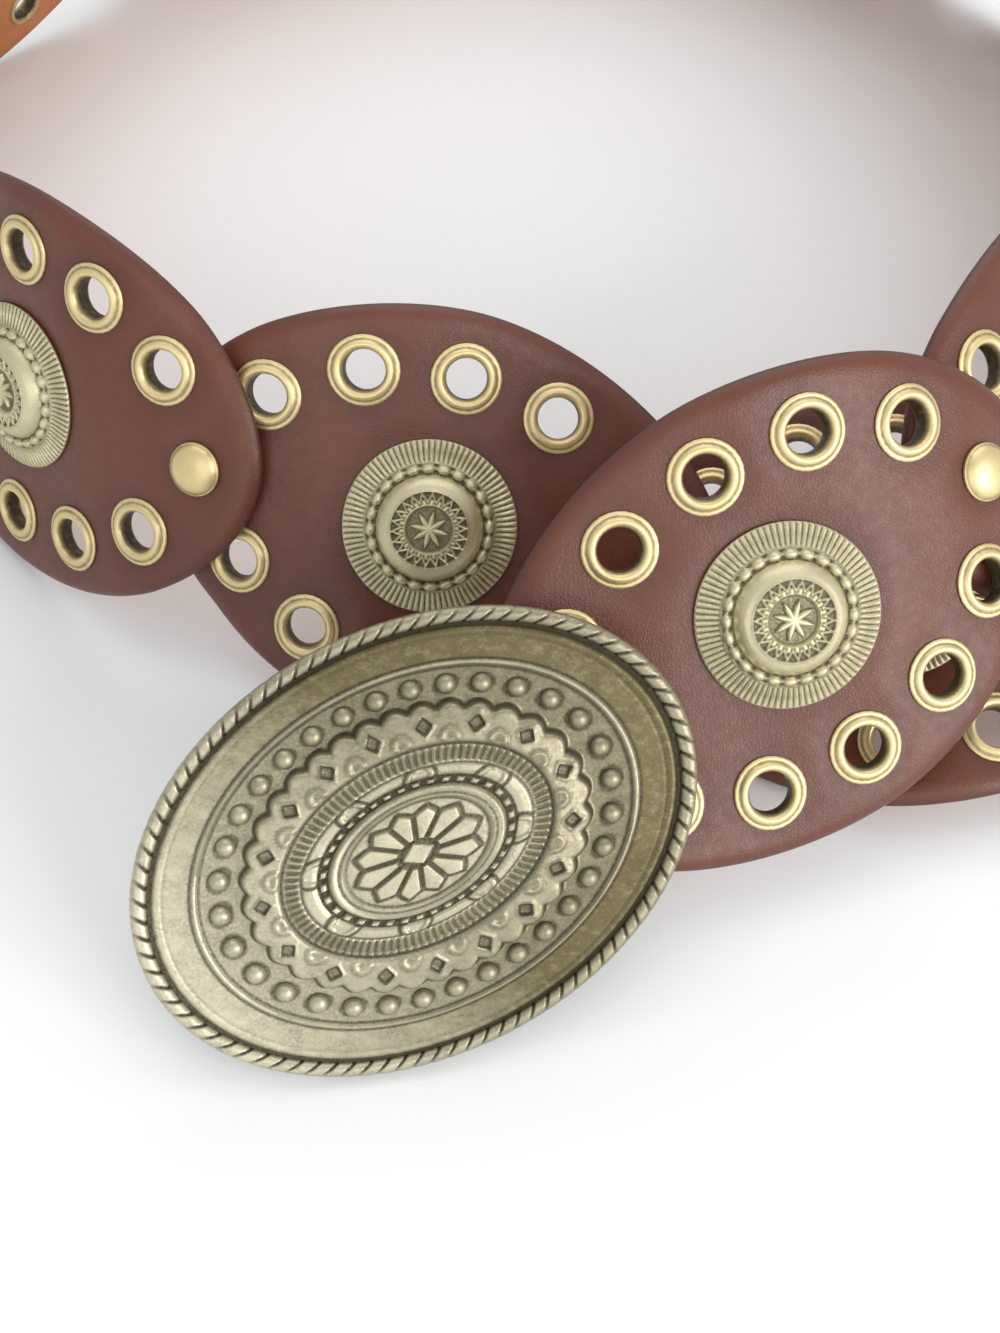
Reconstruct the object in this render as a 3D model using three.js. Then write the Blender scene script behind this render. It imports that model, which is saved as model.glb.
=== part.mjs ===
// Wide waist belt: large oval leather discs riveted tip over tip, closed by a cast oval buckle.
// Millimetres, +Z up. The belt lies closed on a table and stands on the lower rims of its discs.
import * as THREE from 'three';

const DEGREE = Math.PI / 180;
const UP = new THREE.Vector3(0, 0, 1);

// Leather disc
const DISC_HALF_LENGTH = 56;
const DISC_HALF_WIDTH = 39.5;
const DISC_ROUNDNESS = 1.85;
const LEATHER = 3;
// Outline stations along the half length, and the stations where a bent face is cut into flat zones.
const STATIONS = [0, 0.165, 0.47, 0.68, 0.86, 0.965];
const ZONE_EDGES = [-1, -0.47, 0.47, 1];

// Joints between discs
const RIVET_OFFSET = 43.5;
const LAYER_GAP = 1.5;
const FLAT_FROM = 38;
const SEAT_RADIUS = 14;
const SEAT_FADE = 28;
const BEND_STEPS = 8;
const PIN_HOLE_RADIUS = 2.2;
const PIN_SIDES = 6;

// Eyelets: five over and five under the middle line of each disc
const EYELETS = [
  { along: -34, across: 16 },
  { along: -18, across: 24.8 },
  { along: 0, across: 27.6 },
  { along: 18, across: 24.8 },
  { along: 34, across: 16 },
];
const EYELET_SIDES = 7;
const EYELET_RADIUS = 7;
const EYELET_CREST_RADIUS = 4.3;
const EYELET_CREST_HEIGHT = 0.9;
const EYELET_BORE_RADIUS = 3.6;

// Turned profiles run from the hidden back to the front, measured from the leather's front face.
const CONCHO_SIDES = 10;
const CONCHO_PROFILE = [
  { radius: 0, height: -4.4 },
  { radius: 3.6, height: -3.7 },
  { radius: 1.5, height: -3.6 },
  { radius: 1.5, height: 0.6 },
  { radius: 16, height: 1.9 },
  { radius: 12.6, height: 3 },
  { radius: 9, height: 5 },
  { radius: 5, height: 4.2 },
  { radius: 0, height: 4.8 },
];
const RIVET_SIDES = 8;
const RIVET_PROFILE = [
  { radius: 0, height: -8.9 },
  { radius: 4, height: -8.1 },
  { radius: 1.5, height: -8 },
  { radius: 1.5, height: 0.4 },
  { radius: 5, height: 0.5 },
  { radius: 3.6, height: 1.7 },
  { radius: 0, height: 2.2 },
];

// Lie of each disc, in degrees: heading of its long axis, lean of its face, tilt in its own face
const DISC_LIE = [
  { heading: 9, lean: 36.5, tilt: 26.5 },
  { heading: 67, lean: 34, tilt: -26 },
  { heading: 75, lean: 39, tilt: 14.5 },
  { heading: 100, lean: 27, tilt: -2.5 },
  { heading: 137, lean: 29.5, tilt: 3.5 },
  { heading: 178.5, lean: 24.5, tilt: 3 },
  { heading: 212.5, lean: 20, tilt: 2 },
  { heading: 239.5, lean: 17, tilt: 1 },
  { heading: 283, lean: 22, tilt: -1 },
  { heading: 315, lean: 18, tilt: 5 },
  { heading: 361, lean: 37, tilt: -15 },
  { heading: 347, lean: 62, tilt: 8.5 },
];
const FIRST_DISC_CENTRE = new THREE.Vector3(48, -26.5, 45.5);
const BUCKLE_TIP = { bend: 12, twist: 6 };
const FREE_TIP = { bend: 42, twist: 9 };

// Buckle
const BUCKLE_CENTRE = new THREE.Vector3(-13.5, -62, 30);
const BUCKLE_LIE = { heading: 8, lean: 40, tilt: 23 };
// Rings from the recessed back over the rope edge to the medallion. Every second point is lifted or
// drawn in, which makes the bars, beads, scallops and ribs.
const BUCKLE_BACK_HEIGHT = -0.4;
const BUCKLE_RINGS = [
  { halfLength: 42.5, halfWidth: 30, height: -0.4, sides: 32 },
  { halfLength: 44.5, halfWidth: 32, height: -2, sides: 32 },
  { halfLength: 47.6, halfWidth: 35.1, height: -1.8, sides: 32 },
  { halfLength: 48.5, halfWidth: 36, height: 0, sides: 64, drawIn: 0.5 },
  { halfLength: 46.7, halfWidth: 34.2, height: 1.3, sides: 64, lift: -0.6 },
  { halfLength: 44.8, halfWidth: 32.3, height: 0.1, sides: 32 },
  { halfLength: 38, halfWidth: 27.5, height: 1.4, sides: 32 },
  { halfLength: 37, halfWidth: 26.6, height: 0.6, sides: 32 },
  { halfLength: 34, halfWidth: 24.6, height: 2.8, sides: 64, lift: -1.2 },
  { halfLength: 30.8, halfWidth: 23, height: 1.3, sides: 64 },
  { halfLength: 29.6, halfWidth: 22, height: 4.2, sides: 64, drawIn: 0.9 },
  { halfLength: 23.6, halfWidth: 15.6, height: 4.6, sides: 32 },
  { halfLength: 23.1, halfWidth: 15.1, height: 2.9, sides: 32 },
  { halfLength: 20.5, halfWidth: 12.5, height: 3.5, sides: 32, lift: -0.5 },
  { halfLength: 14.8, halfWidth: 9.4, height: 3.6, sides: 32 },
  { halfLength: 14, halfWidth: 8.7, height: 5.4, sides: 32 },
  { halfLength: 12.9, halfWidth: 7.8, height: 4.6, sides: 32 },
  { halfLength: 0, halfWidth: 0, height: 5.8, sides: 1 },
];
// The stud holds the first disc; the peg hooks into any eyelet of the belt's other end.
// Their profiles run from the free end, the stud's measured from the middle of the first disc's
// leather and the peg's from the buckle's back.
const PEG_SIDES = 8;
const PEG_RADIUS = 1.3;
const STUD_PROFILE = [
  { radius: 0, height: -3.8 },
  { radius: 3.4, height: -3.1 },
  { radius: PEG_RADIUS, height: -3 },
  { radius: PEG_RADIUS, height: 2.2 },
];
const HOOK_CENTRE = new THREE.Vector2(-33, 0);
const HOOK_PROFILE = [
  { radius: 0, height: -9.8 },
  { radius: 3, height: -9 },
  { radius: 3, height: -7.8 },
  { radius: PEG_RADIUS, height: -7.4 },
];

const LEATHER_LOOK = { color: 0x6b4a3d, roughness: 0.5, metalness: 0 };
const ANTIQUE_LOOK = { color: 0x9c9078, roughness: 0.42, metalness: 0.85 };
const BRASS_LOOK = { color: 0xc9a35a, roughness: 0.3, metalness: 1 };

// Whether a point lies well inside the circle through three counter-clockwise points.
const CIRCLE_MARGIN = 1e-6;
function isInCircle(a, b, c, point) {
  const [p, q, r] = [a, b, c].map((corner) => corner.clone().sub(point));
  const depth = p.lengthSq() * q.cross(r) + q.lengthSq() * r.cross(p) + r.lengthSq() * p.cross(q);
  return depth > CIRCLE_MARGIN;
}

// Flips the inner edges of a flat patch until its triangles are as compact as they can be, so that
// none of them spans a bend once the patch is bent.
function shortenEdges(faces, plan) {
  const findFlip = () => {
    const owners = new Map();
    faces.forEach((face, k) => face.forEach((from, corner) => {
      owners.set(`${from} ${face[(corner + 1) % 3]}`, { k, from, to: face[(corner + 1) % 3] });
    }));
    for (const { k, from, to } of owners.values()) {
      const other = owners.get(`${to} ${from}`);
      if (other) {
        const near = faces[k].find((corner) => corner !== from && corner !== to);
        const far = faces[other.k].find((corner) => corner !== from && corner !== to);
        if (isInCircle(plan[from], plan[to], plan[near], plan[far])) {
          return { first: k, second: other.k, from, to, near, far };
        }
      }
    }
    return null;
  };
  for (let flip = findFlip(); flip; flip = findFlip()) {
    faces[flip.first] = [flip.near, flip.from, flip.far];
    faces[flip.second] = [flip.far, flip.to, flip.near];
  }
}

// A closed body put together from rings of points.
class Shell {
  constructor() {
    this.points = [];
    this.faces = [];
  }

  ring(points) {
    return points.map((point) => this.points.push(point) - 1);
  }

  // Joins two rings of equal, double or single count. Going up the outside, faces look outwards.
  bridge(from, to) {
    const count = Math.max(from.length, to.length);
    const pick = (ring, k) => ring[Math.floor((k * ring.length) / count) % ring.length];
    for (let k = 0; k < count; k += 1) {
      const a = pick(from, k);
      const b = pick(from, k + 1);
      const c = pick(to, k + 1);
      const d = pick(to, k);
      if (a !== b) {
        this.faces.push(a, b, c);
      }
      if (c !== d) {
        this.faces.push(a, c, d);
      }
    }
  }

  // Bridges each ring to the next one in a list.
  bridgeAll(rings) {
    for (let k = 1; k < rings.length; k += 1) {
      this.bridge(rings[k - 1], rings[k]);
    }
  }

  // Fills an outline round its holes. Each entry holds the plan points and their ring indices.
  fill(outline, holes, facingFront) {
    const plan = [outline.plan, ...holes.map((hole) => hole.plan)].flat();
    const indices = [outline.indices, ...holes.map((hole) => hole.indices)].flat();
    const holePlans = holes.map((hole) => [...hole.plan]);
    const faces = THREE.ShapeUtils.triangulateShape([...outline.plan], holePlans).map(([a, b, c]) => (
      THREE.ShapeUtils.area([plan[a], plan[b], plan[c]]) > 0 ? [a, b, c] : [a, c, b]
    ));
    shortenEdges(faces, plan);
    for (const [a, b, c] of faces) {
      const turned = facingFront ? [a, b, c] : [a, c, b];
      this.faces.push(...turned.map((k) => indices[k]));
    }
  }

  geometry() {
    const geometry = new THREE.BufferGeometry();
    geometry.setFromPoints(this.points);
    geometry.setIndex(this.faces);
    geometry.computeVertexNormals();
    return geometry;
  }
}

// Axes of a leaning face: X along its long axis, Y up its short one, Z out of its front.
function lieMatrix({ heading, lean, tilt }) {
  const turn = new THREE.Matrix4().makeRotationZ(heading * DEGREE);
  turn.multiply(new THREE.Matrix4().makeRotationX(Math.PI / 2 - lean * DEGREE));
  return turn.multiply(new THREE.Matrix4().makeRotationZ(tilt * DEGREE));
}

// A disc that bends and twists away from its middle so that its tips lie flat on its neighbours'.
class BentDisc {
  constructor(lie) {
    this.matrix = lieMatrix(lie);
    this.front = new THREE.Vector3().setFromMatrixColumn(this.matrix, 2);
  }

  // Bend and twist, in radians, that turn the face's normal to the given one.
  turnTo(normal) {
    const local = normal.clone().applyMatrix4(this.matrix.clone().transpose());
    return { bend: Math.atan2(local.x, local.z), twist: Math.asin(local.y) };
  }

  setTips(left, right) {
    const reach = FLAT_FROM;
    this.bendRate = (right.bend - left.bend) / (2 * reach);
    this.bendGrowth = (right.bend + left.bend) / (2 * reach * reach);
    this.twistRate = (right.twist - left.twist) / (2 * reach);
    this.twistGrowth = (right.twist + left.twist) / (2 * reach * reach);
  }

  // The tips past FLAT_FROM stay flat, since each is riveted flat on its neighbour.
  bendAt(along) {
    const bent = THREE.MathUtils.clamp(along, -FLAT_FROM, FLAT_FROM);
    return bent * (this.bendRate + this.bendGrowth * bent);
  }

  twistAt(along) {
    const bent = THREE.MathUtils.clamp(along, -FLAT_FROM, FLAT_FROM);
    return bent * (this.twistRate + this.twistGrowth * bent);
  }

  localNormal(along) {
    const bend = this.bendAt(along);
    const twist = this.twistAt(along);
    return new THREE.Vector3(
      Math.cos(twist) * Math.sin(bend),
      Math.sin(twist),
      Math.cos(twist) * Math.cos(bend),
    );
  }

  // Turn that brings the Z axis onto the bent face's normal at a point of its centre line.
  frameAt(along) {
    const frame = new THREE.Quaternion().setFromRotationMatrix(this.matrix);
    return frame.multiply(new THREE.Quaternion().setFromUnitVectors(UP, this.localNormal(along)));
  }

  normalAt(along) {
    return UP.clone().applyQuaternion(this.frameAt(along));
  }

  // Point of the bent leather from the disc's centre, in the disc's own axes.
  bentPoint(along, across, above) {
    const bend = this.bendAt(along);
    const twist = this.twistAt(along);
    const point = new THREE.Vector3();
    for (let step = 0; step < BEND_STEPS; step += 1) {
      const bendHere = this.bendAt((along * (step + 0.5)) / BEND_STEPS);
      point.x += (along * Math.cos(bendHere)) / BEND_STEPS;
      point.z -= (along * Math.sin(bendHere)) / BEND_STEPS;
    }
    const ruling = new THREE.Vector3(
      -Math.sin(twist) * Math.sin(bend),
      Math.cos(twist),
      -Math.sin(twist) * Math.cos(bend),
    );
    return point.addScaledVector(ruling, across).addScaledVector(this.localNormal(along), above);
  }

  // Offset from the disc's centre of a point given along, across and above the flat leather.
  // The leather stays flat under its ornament and takes up the bend outside it.
  offset(along, across, above) {
    const seat = THREE.MathUtils.smoothstep(Math.hypot(along, across), SEAT_RADIUS, SEAT_FADE);
    const flat = new THREE.Vector3(along, across, above);
    return flat.lerp(this.bentPoint(along, across, above), seat).applyMatrix4(this.matrix);
  }

  place(along, across, above) {
    return this.offset(along, across, above).add(this.centre);
  }
}

// Lays the discs out from the first one: each right tip lies over the next disc's left tip.
function layChain() {
  const discs = DISC_LIE.map((lie) => new BentDisc(lie));
  const tips = [];
  for (let k = 1; k < discs.length; k += 1) {
    tips.push(discs[k - 1].front.clone().add(discs[k].front).normalize());
  }
  const inRadians = ({ bend, twist }) => ({ bend: bend * DEGREE, twist: twist * DEGREE });
  discs.forEach((disc, k) => {
    const left = k === 0 ? inRadians(BUCKLE_TIP) : disc.turnTo(tips[k - 1]);
    const right = k === tips.length ? inRadians(FREE_TIP) : disc.turnTo(tips[k]);
    disc.setTips(left, right);
  });
  discs[0].centre = FIRST_DISC_CENTRE.clone();
  for (let k = 1; k < discs.length; k += 1) {
    const joint = discs[k - 1].place(RIVET_OFFSET, 0, -LEATHER - LAYER_GAP / 2);
    discs[k].centre = joint.sub(discs[k].offset(-RIVET_OFFSET, 0, LAYER_GAP / 2));
  }
  return discs;
}

// Plan of a superellipse, counter-clockwise from its right tip, each point with its station.
function discOutline() {
  const half = [1, ...STATIONS.slice().reverse(), ...STATIONS.slice(1).map((station) => -station)];
  const pointAt = (station, side) => {
    const rest = 1 - Math.abs(station) ** DISC_ROUNDNESS;
    const across = side * DISC_HALF_WIDTH * rest ** (1 / DISC_ROUNDNESS);
    return { station, plan: new THREE.Vector2(station * DISC_HALF_LENGTH, across) };
  };
  const upper = half.map((station) => pointAt(station, 1));
  const lower = half.map((station) => pointAt(-station, -1));
  return [...upper, ...lower];
}

function circlePlan(centreX, centreY, radius, sides) {
  const points = [];
  for (let k = 0; k < sides; k += 1) {
    const angle = (2 * Math.PI * (k + 0.5)) / sides;
    points.push(new THREE.Vector2(centreX + radius * Math.cos(angle), centreY + radius * Math.sin(angle)));
  }
  return points;
}

// Leather disc with its eyelets fused to it, each a raised flange with a bore right through.
function discGeometry(disc, pinHoles) {
  const shell = new Shell();
  const ringOf = (plan, height) => shell.ring(plan.map((point) => disc.place(point.x, point.y, height)));
  const holeOf = (centre, plan, height) => ({ centre, plan, indices: ringOf(plan, height) });
  const frontHoles = [];
  const backHoles = [];
  for (const along of pinHoles) {
    const plan = circlePlan(along, 0, PIN_HOLE_RADIUS, PIN_SIDES);
    let front = holeOf(along, plan, 0);
    let back = holeOf(along, plan, -LEATHER);
    shell.bridge(front.indices, back.indices);
    if (along === 0) {
      const seat = circlePlan(along, 0, SEAT_RADIUS, PIN_SIDES);
      const frontSeat = holeOf(along, seat, 0);
      const backSeat = holeOf(along, seat, -LEATHER);
      shell.bridge(frontSeat.indices, front.indices);
      shell.bridge(back.indices, backSeat.indices);
      front = frontSeat;
      back = backSeat;
    }
    frontHoles.push(front);
    backHoles.push(back);
  }
  for (const side of [1, -1]) {
    for (const { along, across } of EYELETS) {
      const circle = (radius) => circlePlan(along, side * across, radius, EYELET_SIDES);
      const front = holeOf(along, circle(EYELET_RADIUS), 0);
      const crest = ringOf(circle(EYELET_CREST_RADIUS), EYELET_CREST_HEIGHT);
      const back = holeOf(along, circle(EYELET_BORE_RADIUS), -LEATHER);
      shell.bridgeAll([front.indices, crest, back.indices]);
      frontHoles.push(front);
      backHoles.push(back);
    }
  }
  const outline = discOutline();
  const outlinePlan = outline.map((entry) => entry.plan);
  const back = ringOf(outlinePlan, -LEATHER);
  const front = ringOf(outlinePlan, 0);
  shell.bridge(back, front);
  for (let zone = 1; zone < ZONE_EDGES.length; zone += 1) {
    const low = ZONE_EDGES[zone - 1];
    const high = ZONE_EDGES[zone];
    const inZone = outline.map((entry, k) => k)
      .filter((k) => outline[k].station >= low && outline[k].station <= high);
    const plan = inZone.map((k) => outlinePlan[k]);
    const holds = (hole) => hole.centre > low * DISC_HALF_LENGTH && hole.centre < high * DISC_HALF_LENGTH;
    shell.fill({ plan, indices: inZone.map((k) => front[k]) }, frontHoles.filter(holds), true);
    shell.fill({ plan, indices: inZone.map((k) => back[k]) }, backHoles.filter(holds), false);
  }
  return shell.geometry();
}

// Round section about a frame's Z axis, or its single point where the radius is nothing.
function roundSection(base, frame, height, radius, sides) {
  const plan = radius === 0 ? [new THREE.Vector2()] : circlePlan(0, 0, radius, sides);
  return plan.map((point) => (
    new THREE.Vector3(point.x, point.y, height).applyQuaternion(frame).add(base)
  ));
}

// Turned piece set on the leather at a point of the disc's centre line.
function turnedGeometry(disc, along, profile, sides) {
  const shell = new Shell();
  const base = disc.place(along, 0, 0);
  const frame = disc.frameAt(along);
  shell.bridgeAll(profile.map(({ radius, height }) => (
    shell.ring(roundSection(base, frame, height, radius, sides))
  )));
  return shell.geometry();
}

// Cast buckle with a recessed back, the stud that holds the first disc and the hook peg.
function buckleGeometry(firstDisc) {
  const matrix = lieMatrix(BUCKLE_LIE).setPosition(BUCKLE_CENTRE);
  const inverse = matrix.clone().invert();
  const shell = new Shell();
  const rings = BUCKLE_RINGS.map(({ halfLength, halfWidth, height, sides, lift = 0, drawIn = 0 }) => {
    const points = [];
    for (let k = 0; k < sides; k += 1) {
      const angle = (2 * Math.PI * k) / sides;
      const odd = k % 2;
      const x = (halfLength - odd * drawIn) * Math.cos(angle);
      const y = (halfWidth - odd * drawIn) * Math.sin(angle);
      points.push(new THREE.Vector3(x, y, height + odd * lift).applyMatrix4(matrix));
    }
    return shell.ring(points);
  });
  shell.bridgeAll(rings);

  const toPlan = (point) => {
    const local = point.clone().applyMatrix4(inverse);
    return new THREE.Vector2(local.x, local.y);
  };
  const onBack = (plan) => new THREE.Vector3(plan.x, plan.y, BUCKLE_BACK_HEIGHT).applyMatrix4(matrix);
  const frame = new THREE.Quaternion().setFromRotationMatrix(matrix);
  // Peg square to the back: turned sections on a base, joined to a round root in the back's plane.
  const addPeg = (base, profile) => {
    const root = toPlan(base);
    const plan = circlePlan(root.x, root.y, PEG_RADIUS, PEG_SIDES);
    const indices = shell.ring(plan.map(onBack));
    const sections = profile.map(({ radius, height }) => (
      shell.ring(roundSection(base, frame, height, radius, PEG_SIDES))
    ));
    shell.bridgeAll([...sections, indices]);
    return { plan, indices };
  };
  const stud = addPeg(firstDisc.place(-RIVET_OFFSET, 0, -LEATHER / 2), STUD_PROFILE);
  const hook = addPeg(onBack(HOOK_CENTRE), HOOK_PROFILE);

  const backPlan = [];
  const back = BUCKLE_RINGS[0];
  for (let k = 0; k < back.sides; k += 1) {
    const angle = (2 * Math.PI * k) / back.sides;
    backPlan.push(new THREE.Vector2(back.halfLength * Math.cos(angle), back.halfWidth * Math.sin(angle)));
  }
  shell.fill({ plan: backPlan, indices: rings[0] }, [stud, hook], false);
  return shell.geometry();
}

function addPiece(group, name, geometry, look) {
  const mesh = new THREE.Mesh(geometry, new THREE.MeshStandardMaterial(look));
  mesh.name = name;
  group.add(mesh);
}

// Moves all pieces so that the origin is the middle of the belt's bounding box, on the table.
function setOnOrigin(group) {
  const box = new THREE.Box3().setFromObject(group);
  const middle = box.getCenter(new THREE.Vector3());
  for (const mesh of group.children) {
    mesh.geometry.translate(-middle.x, -middle.y, -box.min.z);
  }
}

function buildBelt() {
  const belt = new THREE.Group();
  belt.name = 'wide_waist_belt';
  const discs = layChain();
  const last = discs.length - 1;
  discs.forEach((disc, k) => {
    const number = String(k + 1).padStart(2, '0');
    const pinHoles = k === last ? [-RIVET_OFFSET, 0] : [-RIVET_OFFSET, 0, RIVET_OFFSET];
    addPiece(belt, `disc_${number}`, discGeometry(disc, pinHoles), LEATHER_LOOK);
    addPiece(belt, `concho_${number}`, turnedGeometry(disc, 0, CONCHO_PROFILE, CONCHO_SIDES), ANTIQUE_LOOK);
    if (k < last) {
      const rivet = turnedGeometry(disc, RIVET_OFFSET, RIVET_PROFILE, RIVET_SIDES);
      addPiece(belt, `rivet_${number}`, rivet, BRASS_LOOK);
    }
  });
  addPiece(belt, 'buckle', buckleGeometry(discs[0]), ANTIQUE_LOOK);
  setOnOrigin(belt);
  return belt;
}

export default buildBelt();
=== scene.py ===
"""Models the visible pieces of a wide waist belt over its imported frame.

Large oval leather discs are riveted tip over tip into a ring. Each carries ten brass eyelets and
a round ribbed ornament, and a cast oval relief buckle closes the belt. Shapes are worked out flat
in millimetres and then laid on the bent discs in metres.
"""
import math

import bmesh
import bpy
import numpy as np
from bpy.props import FloatProperty, FloatVectorProperty, PointerProperty
from mathutils import Color, Matrix, Vector


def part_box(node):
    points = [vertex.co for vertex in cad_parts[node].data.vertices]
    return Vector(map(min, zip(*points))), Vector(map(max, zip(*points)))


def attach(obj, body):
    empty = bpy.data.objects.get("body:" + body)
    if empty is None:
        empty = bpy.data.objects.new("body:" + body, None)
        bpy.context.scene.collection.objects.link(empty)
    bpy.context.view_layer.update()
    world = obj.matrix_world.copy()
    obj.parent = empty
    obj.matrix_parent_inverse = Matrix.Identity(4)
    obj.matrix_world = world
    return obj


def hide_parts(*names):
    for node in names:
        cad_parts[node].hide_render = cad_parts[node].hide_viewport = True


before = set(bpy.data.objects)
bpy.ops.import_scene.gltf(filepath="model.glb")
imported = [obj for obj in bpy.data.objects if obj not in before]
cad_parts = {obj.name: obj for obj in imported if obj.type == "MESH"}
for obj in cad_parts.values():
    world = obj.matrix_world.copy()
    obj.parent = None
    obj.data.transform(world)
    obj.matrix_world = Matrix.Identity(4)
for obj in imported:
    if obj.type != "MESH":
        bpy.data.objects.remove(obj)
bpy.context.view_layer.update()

bl_info = {
    "name": "Wide waist belt",
    "version": (1, 0, 0),
    "blender": (4, 5, 0),
    "location": "View3D > Sidebar > Belt",
    "description": "Models a wide belt of riveted leather discs with brass fittings",
    "category": "Add Mesh",
}

MM = 0.001

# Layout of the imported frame, in millimetres and degrees. A lie is a heading, a lean and a tilt. A
# tip is how far the leather bends and twists on its way there. A disc bends only out to FLAT_FROM,
# and stays flat under its ornament out to FLAT_MIDDLE, from where the bend comes in to BENT_FROM.
DISC_HALF_LENGTH = 56
DISC_HALF_WIDTH = 39.5
DISC_ROUNDNESS = 1.85
LEATHER = 3
RIVET_OFFSET = 43.5
LAYER_GAP = 1.5
FLAT_FROM = 38
FLAT_MIDDLE = 14
BENT_FROM = 28
BEND_STEPS = 8
DISC_LIES = (
    (9, 36.5, 26.5),
    (67, 34, -26),
    (75, 39, 14.5),
    (100, 27, -2.5),
    (137, 29.5, 3.5),
    (178.5, 24.5, 3),
    (212.5, 20, 2),
    (239.5, 17, 1),
    (283, 22, -1),
    (315, 18, 5),
    (361, 37, -15),
    (347, 62, 8.5),
)
FIRST_DISC_CENTRE = (48, -26.5, 45.5)
BUCKLE_TIP = (12, 6)
FREE_TIP = (42, 9)
BUCKLE_CENTRE = (-13.5, -62, 30)
BUCKLE_LIE = (8, 40, 23)
EYELET_SPOTS = [
    (along, side * across)
    for along, across in ((-34, 16), (-18, 24.8), (0, 27.6), (18, 24.8), (34, 16))
    for side in (1, -1)
]
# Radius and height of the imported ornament's rings, from which the frame's origin is found
ORNAMENT_SIDES = 10
ORNAMENT_RINGS = ((0, -4.4), (3.6, -3.7), (16, 1.9), (12.6, 3), (9, 5), (0, 4.8))

# Camera of the photograph, in the layout's millimetres
CAMERA_DISTANCE = 369
CAMERA_ELEVATION = 50.5
FOCAL_PIXELS = 1900
PHOTO_HEIGHT = 1333
SENSOR_HEIGHT = 36


def linear(red, green, blue):
    """Scene-linear colour of an 8-bit screen colour."""
    return tuple(Color((red / 255, green / 255, blue / 255)).from_srgb_to_scene_linear())


# Sizes and colours that a user may change


class BeltLeather(bpy.types.PropertyGroup):
    face: FloatVectorProperty(
        name="Face", description="Colour of the smooth front of the leather",
        subtype="COLOR", size=3, min=0, max=1, default=linear(104, 52, 32),
    )
    # The shade colour also paints the shade round the fittings, where they press into the leather.
    shade: FloatVectorProperty(
        name="Shade", description="Darker clouding of the front",
        subtype="COLOR", size=3, min=0, max=1, default=linear(82, 39, 25),
    )
    edge: FloatVectorProperty(
        name="Edge", description="Colour of the burnished cut edge",
        subtype="COLOR", size=3, min=0, max=1, default=linear(76, 38, 27),
    )
    back: FloatVectorProperty(
        name="Back", description="Colour of the raw back of the leather",
        subtype="COLOR", size=3, min=0, max=1, default=linear(190, 122, 76),
    )
    grain: FloatProperty(
        name="Grain", description="Size of the leather's pores",
        subtype="DISTANCE", unit="LENGTH", min=0.0002, max=0.004, default=0.0007,
    )


class BeltMetal(bpy.types.PropertyGroup):
    bright: FloatVectorProperty(
        name="Bright brass", description="Colour of the eyelets and rivet caps",
        subtype="COLOR", size=3, min=0, max=1, default=linear(222, 203, 152),
    )
    # Painted reflection and shade: the buckle's high parts go from this silvery colour at the left
    # to the toned colour at the upper right, following how the light falls rather than wear.
    pale_brass_and_sheen: FloatVectorProperty(
        name="Silvered brass", description="Worn high parts on the buckle's left",
        subtype="COLOR", size=3, min=0, max=1, default=linear(208, 201, 176),
    )
    toned: FloatVectorProperty(
        name="Toned brass", description="Worn high parts on the buckle's upper right",
        subtype="COLOR", size=3, min=0, max=1, default=linear(102, 93, 64),
    )
    olive: FloatVectorProperty(
        name="Olive brass", description="Worn high parts of the ornaments",
        subtype="COLOR", size=3, min=0, max=1, default=linear(209, 201, 165),
    )
    # The dark patina colour also paints shade in the eyelets' bores and on the lower sides of the
    # buckle's rope and beads.
    dark: FloatVectorProperty(
        name="Dark patina", description="Colour left in the recesses of the cast pieces",
        subtype="COLOR", size=3, min=0, max=1, default=linear(48, 40, 24),
    )


class BeltStage(bpy.types.PropertyGroup):
    floor: FloatVectorProperty(
        name="Floor", description="Colour of the plain pale floor",
        subtype="COLOR", size=3, min=0, max=1, default=linear(233, 235, 236),
    )
    overhead_power: FloatProperty(
        name="Overhead light", description="Power of the wide light above the belt",
        subtype="POWER", unit="POWER", min=0, max=200, default=12,
    )
    side_power: FloatProperty(
        name="Side light", description="Power of the window light at the right",
        subtype="POWER", unit="POWER", min=0, max=200, default=18,
    )
    fill_power: FloatProperty(
        name="Fill light", description="Power of the wide weak light at the front left",
        subtype="POWER", unit="POWER", min=0, max=200, default=5.5,
    )


# Laying flat shapes on the bent discs


def lie_turn(heading, lean, tilt):
    """Turn of a leaning face: X along its long axis, Y up its short one, Z out of its front."""
    turn = Matrix.Rotation(math.radians(heading), 3, "Z")
    turn = turn @ Matrix.Rotation(math.radians(90 - lean), 3, "X")
    return np.array(turn @ Matrix.Rotation(math.radians(tilt), 3, "Z"))


def eased(values, low, high):
    """Smooth step from 0 at low to 1 at high."""
    share = np.clip((values - low) / (high - low), 0, 1)
    return share * share * (3 - 2 * share)


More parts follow.
